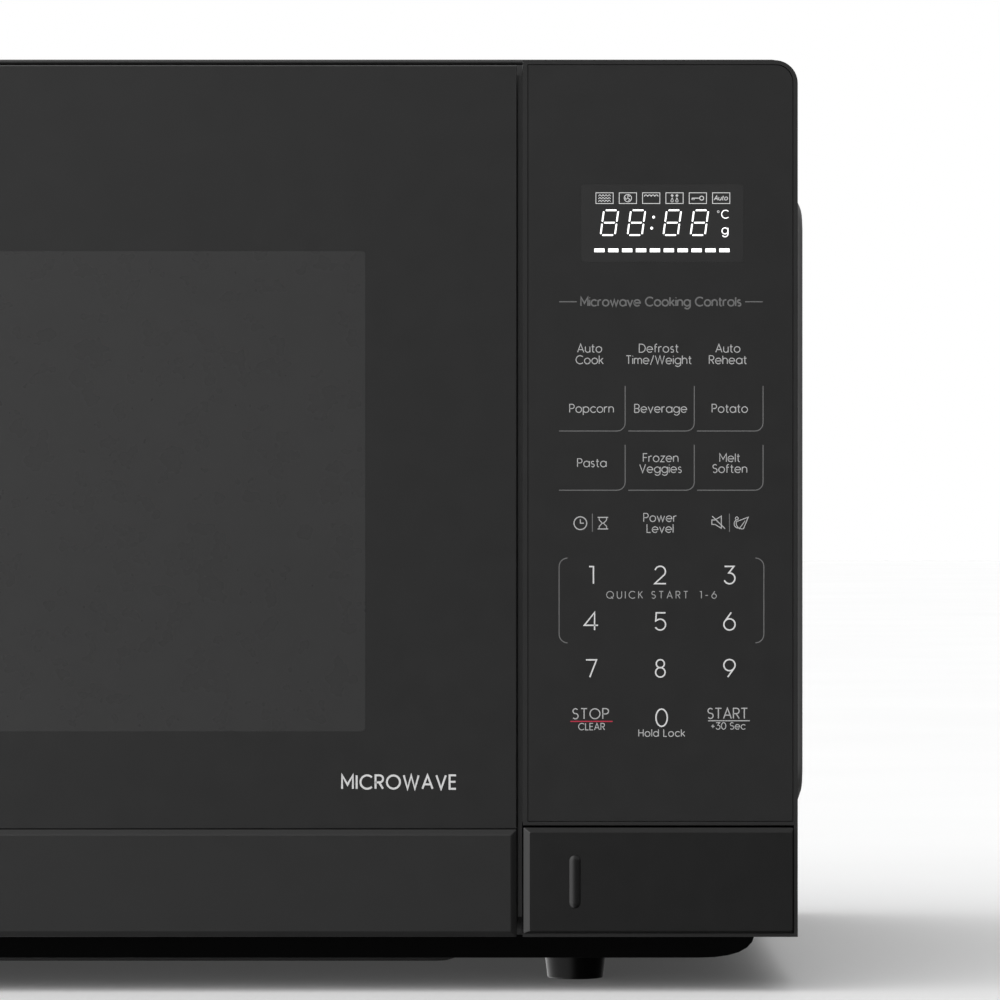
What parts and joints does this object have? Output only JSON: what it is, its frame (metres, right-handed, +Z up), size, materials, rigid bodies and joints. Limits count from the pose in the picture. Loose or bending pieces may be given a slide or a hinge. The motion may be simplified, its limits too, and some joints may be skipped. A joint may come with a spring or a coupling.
{
  "type": "microwave oven",
  "caption": "Black countertop microwave oven with a side-hinged flat door, a touch control panel, a push-button door release and a glass turntable.",
  "frame": {"origin": "on the surface the feet stand on, under the middle of the oven's box", "axes": "+X to the right seen from the front, +Y to the back, +Z up; the door and the panel face -Y"},
  "size_m": [0.4896, 0.405, 0.294],
  "materials": {
    "black_paint": "matt black powder paint on sheet steel",
    "grey_enamel": "smooth grey oven enamel",
    "black_plastic": "finely textured matt black moulding",
    "front_sheet": "satin black sheet, printed",
    "black_rubber": "matt",
    "zinc_steel": "galvanised, dull",
    "heatsink_aluminium": "extruded, bare",
    "circuit_board": "solder mask, satin",
    "white_plastic": "natural white moulding",
    "clear_glass": "clear",
    "clear_film": "clear film",
    "mica_sheet": "pressed mica, dull",
    "copper_winding": "lacquered copper over a dark core",
    "spring_steel": "drawn wire"
  },
  "bodies": {
    "cabinet": {"outer_casing": "black_paint", "base_pan": "black_paint", "front_frame": "black_paint", "cavity_liner": "grey_enamel", "control_housing": "black_plastic", "rear_spacer_left": "black_plastic", "rear_spacer_right": "black_plastic", "microswitch_1": "black_plastic", "microswitch_2": "black_plastic", "microswitch_3": "black_plastic", "touch_overlay": "front_sheet", "foot_front_left": "black_rubber", "foot_front_right": "black_rubber", "foot_rear_left": "black_rubber", "foot_rear_right": "black_rubber", "cord_gland": "black_rubber", "rear_panel": "zinc_steel", "hinge_bracket_upper": "zinc_steel", "hinge_bracket_lower": "zinc_steel", "waveguide": "zinc_steel", "magnetron": "zinc_steel", "turntable_motor": "zinc_steel", "fan_bracket": "zinc_steel", "fan_motor": "zinc_steel", "casing_screw_1": "zinc_steel", "casing_screw_2": "zinc_steel", "casing_screw_3": "zinc_steel", "casing_screw_4": "zinc_steel", "inverter_heatsink": "heatsink_aluminium", "control_board": "circuit_board", "inverter_board": "circuit_board", "line_filter_board": "circuit_board", "latch_body": "white_plastic", "lamp_holder": "white_plastic", "thermal_cutout": "white_plastic", "display_module": "white_plastic", "oven_lamp": "clear_glass", "touch_sensor_film": "clear_film", "waveguide_cover": "mica_sheet", "inverter_transformer": "copper_winding", "button_spring": "spring_steel"},
    "door": {"door_front_sheet": "front_sheet", "door_lower_trim": "black_plastic", "door_frame": "black_plastic", "door_steel_panel": "black_paint", "door_inner_cover": "black_plastic", "door_inner_film": "clear_film", "latch_spring": "spring_steel"},
    "latch_hooks": {"latch_hooks": "white_plastic"},
    "door_open_button": {"door_open_button": "black_plastic"},
    "release_lever": {"release_lever": "white_plastic"},
    "drive_coupler": {"drive_coupler": "white_plastic"},
    "glass_tray": {"glass_tray": "clear_glass"},
    "roller_ring": {"roller_ring": "white_plastic"},
    "roller_1": {"roller_1": "white_plastic"},
    "roller_2": {"roller_2": "white_plastic"},
    "roller_3": {"roller_3": "white_plastic"},
    "fan_blade": {"fan_blade": "white_plastic"}
  },
  "joints": [
    {"name": "door_hinge", "type": "hinge", "parent": "cabinet", "child": "door", "pos_m": [-0.2245, -0.19, 0.15345], "axis": [0, 0, -1], "range_deg": [0, 110]},
    {"name": "latch_slide", "type": "slide", "parent": "door", "child": "latch_hooks", "axis": [0, 0, 1], "range_m": [0, 0.0031], "stiffness_N_per_m": 60, "springref_m": -0.008},
    {"name": "button_press", "type": "hinge", "parent": "cabinet", "child": "door_open_button", "pos_m": [0.234, -0.196, 0.03517], "axis": [0, 0, -1], "range_deg": [0, 4.34], "stiffness_Nm_per_rad": 3, "springref_deg": -5.73},
    {"name": "release_lever_turn", "type": "hinge", "parent": "cabinet", "child": "release_lever", "pos_m": [0.14925, -0.15, 0.058], "axis": [1, 0, 0], "range_deg": [0, 13.1]},
    {"name": "turntable_spin", "type": "hinge", "parent": "cabinet", "child": "drive_coupler", "pos_m": [-0.0439, 0.005, 0.055], "axis": [0, 0, 1], "continuous": true},
    {"name": "tray_lift", "type": "slide", "parent": "drive_coupler", "child": "glass_tray", "axis": [0, 0, 1], "range_m": [0, 0.03]},
    {"name": "roller_ring_spin", "type": "hinge", "parent": "cabinet", "child": "roller_ring", "pos_m": [-0.0439, 0.005, 0.0575], "axis": [0, 0, 1], "continuous": true},
    {"name": "roller_1_spin", "type": "hinge", "parent": "roller_ring", "child": "roller_1", "pos_m": [0.0491, 0.005, 0.0575], "axis": [1, 0, 0], "continuous": true},
    {"name": "roller_2_spin", "type": "hinge", "parent": "roller_ring", "child": "roller_2", "pos_m": [-0.0904, 0.08554, 0.0575], "axis": [-0.5, 0.866, 0], "continuous": true},
    {"name": "roller_3_spin", "type": "hinge", "parent": "roller_ring", "child": "roller_3", "pos_m": [-0.0904, -0.07554, 0.0575], "axis": [-0.5, -0.866, 0], "continuous": true},
    {"name": "fan_spin", "type": "hinge", "parent": "cabinet", "child": "fan_blade", "pos_m": [0.182, 0.124, 0.128], "axis": [0, 1, 0], "continuous": true}
  ],
  "couplings": [
    {"joint": "release_lever_turn", "follows": "button_press", "ratio": 3},
    {"joint": "latch_slide", "follows": "button_press", "m_per_rad": 0.0396},
    {"joint": "roller_ring_spin", "follows": "turntable_spin", "ratio": 0.5},
    {"joint": "roller_1_spin", "follows": "turntable_spin", "ratio": -6.4583},
    {"joint": "roller_2_spin", "follows": "turntable_spin", "ratio": -6.4583},
    {"joint": "roller_3_spin", "follows": "turntable_spin", "ratio": -6.4583}
  ]
}
